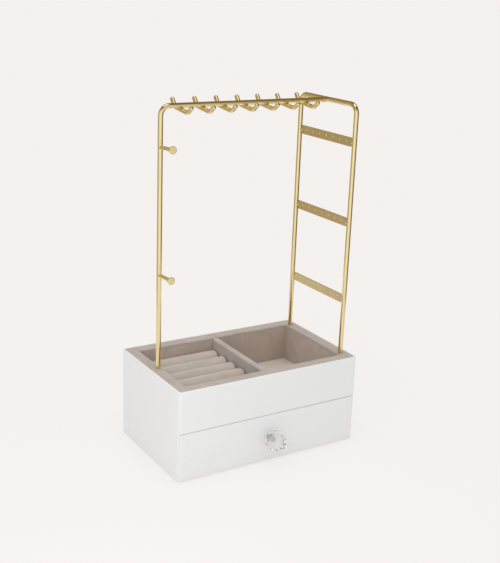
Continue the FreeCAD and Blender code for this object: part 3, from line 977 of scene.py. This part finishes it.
class STAND_OT_linings(Operator):
    """Line the walls of the tray, set the divider and lay the floor pads"""

    bl_idname = "jewelry_stand.linings"
    bl_label = "Tray linings"

    def execute(self, context):
        for node in ("lining_left", "lining_right", "lining_front", "lining_back"):
            lining_card(node, "case")
        low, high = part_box("tray_divider")
        divider = block("tray_divider_velvet", low, high)
        on_top = at_height(high.z)
        round_edges(divider, lambda e: on_top(e) and abs(run_of(e).y) > 0.9, DIVIDER_ROUND, 6)
        smooth(divider)
        dress(divider, "velvet", "case", "tray_divider")
        for node in ("floor_pad_left", "floor_pad_right"):
            floor_pad(node, "case")
        return {"FINISHED"}


def lining_card(node, body):
    """A wall lining: velvet drawn over card, its edges turned over softly."""
    low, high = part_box(node)
    if body == "case":
        high = Vector((high.x, high.y, RIM_FOOT))
    card = block(node + "_velvet", low, high)
    soften(card, CARD_ROUND, 2)
    smooth(card)
    # Linings take the velvet painted lighter: painted light.
    dress(card, "wall_velvet", body, node)


def floor_pad(node, body):
    """A thin pad on a floor: flat in the middle, its edge pillowed down all round."""
    low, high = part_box(node)
    pad = rounded_block(node + "_velvet", low, high, PAD_CORNER, 4)
    round_edges(pad, at_height(high.z), (high.z - low.z) * PAD_SHARE, 5)
    smooth(pad, 45.0)
    # Pads take the velvet painted lighter: painted light.
    dress(pad, "pad_velvet", body, node)


class STAND_OT_ring_rolls(Operator):
    """Puff up one foam ring roll under its velvet and set five of them side by side"""

    bl_idname = "jewelry_stand.ring_rolls"
    bl_label = "Ring rolls"

    def execute(self, context):
        roll = self.foam_core(*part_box("ring_roll_1"))
        self.puff(roll, context.scene)
        # Rolls take the velvet painted lighter: painted light.
        for twin in repeat(roll, "ring_roll_", "_velvet", "roll_velvet"):
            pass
        return {"FINISHED"}

    def foam_core(self, low, high):
        """A little under size, flat underneath and half round on top."""
        low = low + Vector((FOAM_GAP, FOAM_GAP, 0))
        high = high - Vector((FOAM_GAP - FOAM_STRETCH, FOAM_GAP, FOAM_GAP))
        roll = block("ring_roll", low, high)
        on_top = at_height(high.z)
        reach = (high.y - low.y) / 2 * ROLL_SHARE
        round_edges(roll, lambda e: on_top(e) and abs(run_of(e).x) > 0.9, reach, 10)
        centre, half = (low.x + high.x) / 2, (high.x - low.x) / 2
        round_edges(roll, lambda e: near(abs(centre_of(e).x - centre), half)
                    and centre_of(e).z > low.z + 0.1 * MM, ROLL_END, 4)
        return roll

    def puff(self, roll, scene):
        """Swell the roll as cloth under pressure, with its movement held short."""
        apply_modifier(roll, "REMESH", mode="VOXEL", voxel_size=scene.stand_sizes.roll_voxel)
        rest = [v.co.copy() for v in roll.data.vertices]
        hold(roll)
        cloth = roll.modifiers.new("Cloth", "CLOTH")
        cloth.settings.use_pressure = True
        cloth.settings.uniform_pressure_force = 4.0
        cloth.settings.effector_weights.gravity = 0.0
        cloth.settings.quality = 6
        cloth.point_cache.frame_start = 1
        cloth.point_cache.frame_end = 20
        for number in range(1, 21):
            scene.frame_set(number)
        bpy.ops.object.modifier_apply(modifier=cloth.name)
        for vertex, start in zip(roll.data.vertices, rest):
            move = vertex.co - start
            if move.length > PUFF_LIMIT:
                vertex.co = start + move.normalized() * PUFF_LIMIT
        scene.frame_set(1)
        apply_modifier(roll, "SUBSURF", levels=1, render_levels=1)
        smooth(roll, 60.0, weighted=False)


# ---- The rods ----


class STAND_OT_posts(Operator):
    """Bend the left post with its bar and the frame on the right"""

    bl_idname = "jewelry_stand.posts"
    bl_label = "Posts and bar"

    def execute(self, context):
        bend = context.scene.stand_sizes.bend_radius
        cope = round_bar("cope", (POST_X, -12 * MM, BAR_Z), (POST_X, 12 * MM, BAR_Z), ROD_RADIUS)
        self.bend_post("left_post_and_bar", "left_post_bar", bend, POST_FEET[:1], cope,
                       [(-POST_X, 0, RIM_FOOT), (-POST_X, 0, BAR_Z), (POST_X, 0, BAR_Z)])
        flat = round_bar("flat", (POST_X + ROD_RADIUS - SCREW_FLAT, 0, BAR_Z),
                         (POST_X + ROD_RADIUS + PAST, 0, BAR_Z), FLAT_RADIUS)
        self.bend_post("right_frame_rod", "right_frame", bend, POST_FEET[1:], flat,
                       [(POST_X, -FRAME_Y, RIM_FOOT), (POST_X, -FRAME_Y, BAR_Z),
                        (POST_X, FRAME_Y, BAR_Z), (POST_X, FRAME_Y, RIM_FOOT)])
        return {"FINISHED"}

    def bend_post(self, name, node, bend, feet, cutter, corners):
        """A bent rod, cut where it meets another, its feet turned down to studs."""
        post = bent_rod(name, corners, bend, ROD_RADIUS)
        for x, y in feet:
            foot = Vector((x, y, RIM_FOOT))
            turn_down(post, lambda f: (centre_of(f) - foot).length < 0.1 * MM,
                      ROD_RADIUS - STUD_RADIUS, (0, 0, -STUD_LENGTH))
        cut(post, cutter)
        smooth(post)
        dress(post, "post_gold", "case", node)


class STAND_OT_bar_joint(Operator):
    """Make the collar at the end of the bar and the screw through the frame"""

    bl_idname = "jewelry_stand.bar_joint"
    bl_label = "Collar and frame screw"

    def execute(self, context):
        low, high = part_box("bar_collar")
        collar = round_bar("bar_collar_ring", (low.x, 0, BAR_Z), (high.x, 0, BAR_Z),
                           (high.z - low.z) / 2, 48)
        cut(collar, round_bar("bore", (low.x - PAST, 0, BAR_Z), (high.x + PAST, 0, BAR_Z),
                              ROD_RADIUS + 0.05 * MM, 48))
        soften(collar, METAL_ROUND)
        smooth(collar)
        dress(collar, "bar_gold", "case", "bar_collar")

        low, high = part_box("frame_screw")
        seat = POST_X + ROD_RADIUS - SCREW_FLAT
        radius = (high.z - low.z) / 2
        screw = round_bar("frame_screw_pan_head", (seat, 0, BAR_Z), (high.x, 0, BAR_Z), radius, 40)
        round_edges(screw, lambda e: near(centre_of(e).x, high.x), HEAD_ROUND, 5)
        turn_down(screw, lambda f: near(centre_of(f).x, seat), radius - SHANK_RADIUS,
                  (low.x - seat, 0, 0))
        long, wide, deep = 1.25 * MM, 0.3 * MM, 0.6 * MM
        for y, z in ((wide, long), (long, wide)):
            cut(screw, block("recess", (high.x - deep, -y, BAR_Z - z),
                             (high.x + PAST, y, BAR_Z + z)))
        smooth(screw, 35.0)
        dress(screw, "bar_gold", "case", "frame_screw")
        return {"FINISHED"}


class STAND_OT_strips(Operator):
    """Pierce the earring strips and pin them between the frame posts"""

    bl_idname = "jewelry_stand.strips"
    bl_label = "Earring strips"

    def execute(self, context):
        low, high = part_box("earring_strip_1")
        first = self.pierced_strip(low, high, context.scene.stand_sizes.strip_hole / 2)
        repeat(first, "earring_strip_", "_pierced", "strip_gold")
        reach = high.y - STRIP_TRIM.y
        pins = [self.pin(side, middle("earring_strip_%d" % number).z, reach)
                for number in (1, 2, 3) for side in (-1, 1)]
        pins = merge("strip_end_pins", *pins)
        smooth(pins)
        dress(pins, "bar_gold", "case", "strip_pins")
        return {"FINISHED"}

    def pierced_strip(self, low, high, radius):
        strip = block("strip", low + STRIP_TRIM, high - STRIP_TRIM)
        round_edges(strip, lambda e: abs(run_of(e).x) > 0.9, STRIP_CORNER, 5)
        start = low.y + HOLE_MARGIN
        pitch = (high.y - low.y - 2 * HOLE_MARGIN) / (STRIP_HOLES - 1)
        z = (low.z + high.z) / 2
        punches = [round_bar("punch", (low.x - PAST, start + pitch * n, z),
                             (high.x + PAST, start + pitch * n, z), radius, 24)
                   for n in range(STRIP_HOLES)]
        cut(strip, merge("punches", *punches))
        soften(strip, METAL_ROUND)
        smooth(strip)
        return strip

    def pin(self, side, z, reach):
        """A round pin, pressed flat where it meets the strip and coped to the post."""
        end = (POST_X, side * reach, z)
        pin = round_bar("pin", end, (POST_X, side * FRAME_Y, z), PIN_RADIUS, 24)
        edit(pin)
        pick("verts", lambda v: near(v.co.y, side * reach))
        bpy.ops.transform.resize(value=PIN_PRESS, center_override=end)
        leave()
        cut(pin, round_bar("post", (POST_X, side * FRAME_Y, z - 5 * MM),
                           (POST_X, side * FRAME_Y, z + 5 * MM), ROD_RADIUS))
        return pin


class STAND_OT_pegs(Operator):
    """Turn the two pegs on the left post"""

    bl_idname = "jewelry_stand.pegs"
    bl_label = "Pegs"

    def execute(self, context):
        peg = self.turned_peg(context.scene.stand_sizes.peg_tilt)
        repeat(peg, "peg_", "_turned", "bar_gold")
        return {"FINISHED"}

    def turned_peg(self, tilt):
        """A disc on a thin stem, both softened, that leans up a little."""
        root = Vector((-POST_X, 0, BAR_Z - PEG_DROP))
        way = Vector((0, -math.cos(tilt), math.sin(tilt)))
        stem = PEG_REACH - DISC_THICKNESS / 2
        back, disc = root + way * stem, root + way * PEG_REACH
        peg = round_bar("peg", back, root + way * (PEG_REACH + DISC_THICKNESS / 2), DISC_RADIUS, 40)
        turn_down(peg, lambda f: f.normal.dot(way) < -0.9, DISC_RADIUS - STEM_RADIUS, way * -stem)

        def disc_rim(edge):
            return abs(run_of(edge).dot(way)) < 0.1 and all(
                (v.co - disc).length > DISC_RADIUS * 0.9
                and abs((v.co - disc).dot(way)) < DISC_THICKNESS for v in edge.verts)

        round_edges(peg, disc_rim, DISC_ROUND, 4)
        round_edges(peg, lambda e: all(near((v.co - back).length, STEM_RADIUS, 2e-5)
                                       for v in e.verts), STEM_ROUND, 3)
        half = Vector((0, 0, 8 * MM))
        cut(peg, round_bar("post", root - half, root + half, ROD_RADIUS))
        smooth(peg)
        return peg


class STAND_OT_hooks(Operator):
    """Bend one hook and seat seven of them under the bar"""

    bl_idname = "jewelry_stand.hooks"
    bl_label = "Hooks"

    def execute(self, context):
        repeat(self.bent_hook(context.scene.stand_sizes), "hook_", "_wire", "bar_gold")
        return {"FINISHED"}

    def bent_hook(self, sizes):
        """A wire run under the bar, its ends bent up and domed, the front hung lower."""
        x = middle("hook_1").x
        radius = sizes.hook_wire / 2
        level = -ROD_RADIUS - radius + HOOK_SEAT
        tip = level + sizes.hook_rise
        reach = sizes.hook_reach
        knee = reach - sizes.hook_rise / math.tan(sizes.hook_angle)
        droop = Matrix.Rotation(sizes.hook_tilt, 3, "X")
        corners = [Vector((x, 0, BAR_Z)) + droop @ Vector((0, y, z))
                   for y, z in ((-reach, tip), (-knee, level), (knee, level), (reach, tip))]
        hook = bent_rod("hook", corners, sizes.hook_bend, radius, 24, 8)
        round_edges(hook, lambda e: any(len(f.verts) > 8 for f in e.link_faces), radius * 0.8, 5)
        cut(hook, round_bar("bar", (x - 6 * MM, 0, BAR_Z), (x + 6 * MM, 0, BAR_Z), ROD_RADIUS))
        smooth(hook, 50.0)
        return hook


# ---- The drawer ----


class STAND_OT_drawer(Operator):
    """Make the drawer front, paint the drawer box and line it"""

    bl_idname = "jewelry_stand.drawer"
    bl_label = "Drawer"

    def execute(self, context):
        sizes = context.scene.stand_sizes
        front = cross_board(sizes, -1, MITRE_GAP)
        top = FRONT_HIGH.z + FRONT_RAISE
        saw(front, (0, 0, top), (0, 0, 1))
        saw(front, (0, 0, FRONT_LOW.z), (0, 0, -1))
        groove = block("groove", *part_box("drawer_bottom"))
        z = middle("knob_screw").z
        inside = (0, -INNER_Y + PAST, z)
        bore = round_bar("bore", (0, -HALF_DEPTH - PAST, z), inside, BORE_RADIUS)
        sink = round_bar("sink", (0, -INNER_Y - SINK_DEPTH, z), inside, SINK_RADIUS)
        cut(front, groove, bore, sink)
        round_seam(front, top, sizes.seam_round)
        round_seam(front, FRONT_LOW.z, FRONT_FOOT_ROUND)
        lacquer(front, "drawer", "drawer_front")
        for node in ("drawer_side_left", "drawer_side_right", "drawer_back", "drawer_bottom"):
            paint(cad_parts[node], "board")
        paint(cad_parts["knob_screw"], "steel")
        floor_pad("drawer_floor_pad", "drawer")
        for side in ("front", "back", "left", "right"):
            lining_card("drawer_lining_" + side, "drawer")
        return {"FINISHED"}


class STAND_OT_knob(Operator):
    """Cut the clear knob in triangular facets"""

    bl_idname = "jewelry_stand.knob"
    bl_label = "Knob"

    def execute(self, context):
        facets = context.scene.stand_sizes.knob_facets
        z = middle("drawer_knob").z
        knob = open_circle("drawer_knob_faceted", (0, -HALF_DEPTH - KNOB_GAP, z),
                           (math.radians(90), 0, 0), KNOB_RINGS[0][0] * MM, facets)
        for (before, start), (radius, station) in zip(KNOB_RINGS, KNOB_RINGS[1:]):
            extrude_open((0, (start - station) * MM, 0))
            centre = (0, -HALF_DEPTH - station * MM, z)
            share = radius / before
            bpy.ops.transform.resize(value=(share, 1, share), center_override=centre)
            bpy.ops.transform.rotate(value=math.pi / facets, orient_axis="Y",
                                     center_override=centre)
        close_end(lambda e: centre_of(e).y < -HALF_DEPTH - 15 * MM)
        close_end(lambda e: True)
        pick("faces", lambda f: len(f.verts) == 4)
        bpy.ops.mesh.quads_convert_to_tris(quad_method="SHORTEST_DIAGONAL")
        leave()
        tidy_mesh(knob)
        soften(knob, FACET_ROUND, 2, 8.0)
        smooth(knob, 5.0, weighted=False)
        dress(knob, "crystal", "drawer", "drawer_knob")
        return {"FINISHED"}


# ---- Add-on ----

OPERATORS = (
    STAND_OT_stage, STAND_OT_boards, STAND_OT_floors, STAND_OT_tray_rim, STAND_OT_linings,
    STAND_OT_ring_rolls, STAND_OT_posts, STAND_OT_bar_joint, STAND_OT_strips, STAND_OT_pegs,
    STAND_OT_hooks, STAND_OT_drawer, STAND_OT_knob,
)


class STAND_PT_panel(Panel):
    """The stand's pieces, sizes and colours"""

    bl_label = "Jewelry Stand"
    bl_idname = "STAND_PT_panel"
    bl_space_type = "VIEW_3D"
    bl_region_type = "UI"
    bl_category = "Jewelry Stand"

    def draw(self, context):
        layout = self.layout
        for operator in OPERATORS:
            layout.operator(operator.bl_idname)
        for group in (context.scene.stand_sizes, context.scene.stand_colours):
            box = layout.box()
            for name in group.__annotations__:
                box.prop(group, name)


CLASSES = (StandSizes, StandColours, *OPERATORS, STAND_PT_panel)


def register():
    for cls in CLASSES:
        bpy.utils.register_class(cls)
    bpy.types.Scene.stand_sizes = PointerProperty(type=StandSizes)
    bpy.types.Scene.stand_colours = PointerProperty(type=StandColours)


def unregister():
    del bpy.types.Scene.stand_colours
    del bpy.types.Scene.stand_sizes
    for cls in reversed(CLASSES):
        bpy.utils.unregister_class(cls)


def main():
    """Register the add-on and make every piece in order."""
    register()
    for operator in OPERATORS:
        group, name = operator.bl_idname.split(".")
        getattr(getattr(bpy.ops, group), name)()


if __name__ == "__main__":
    main()
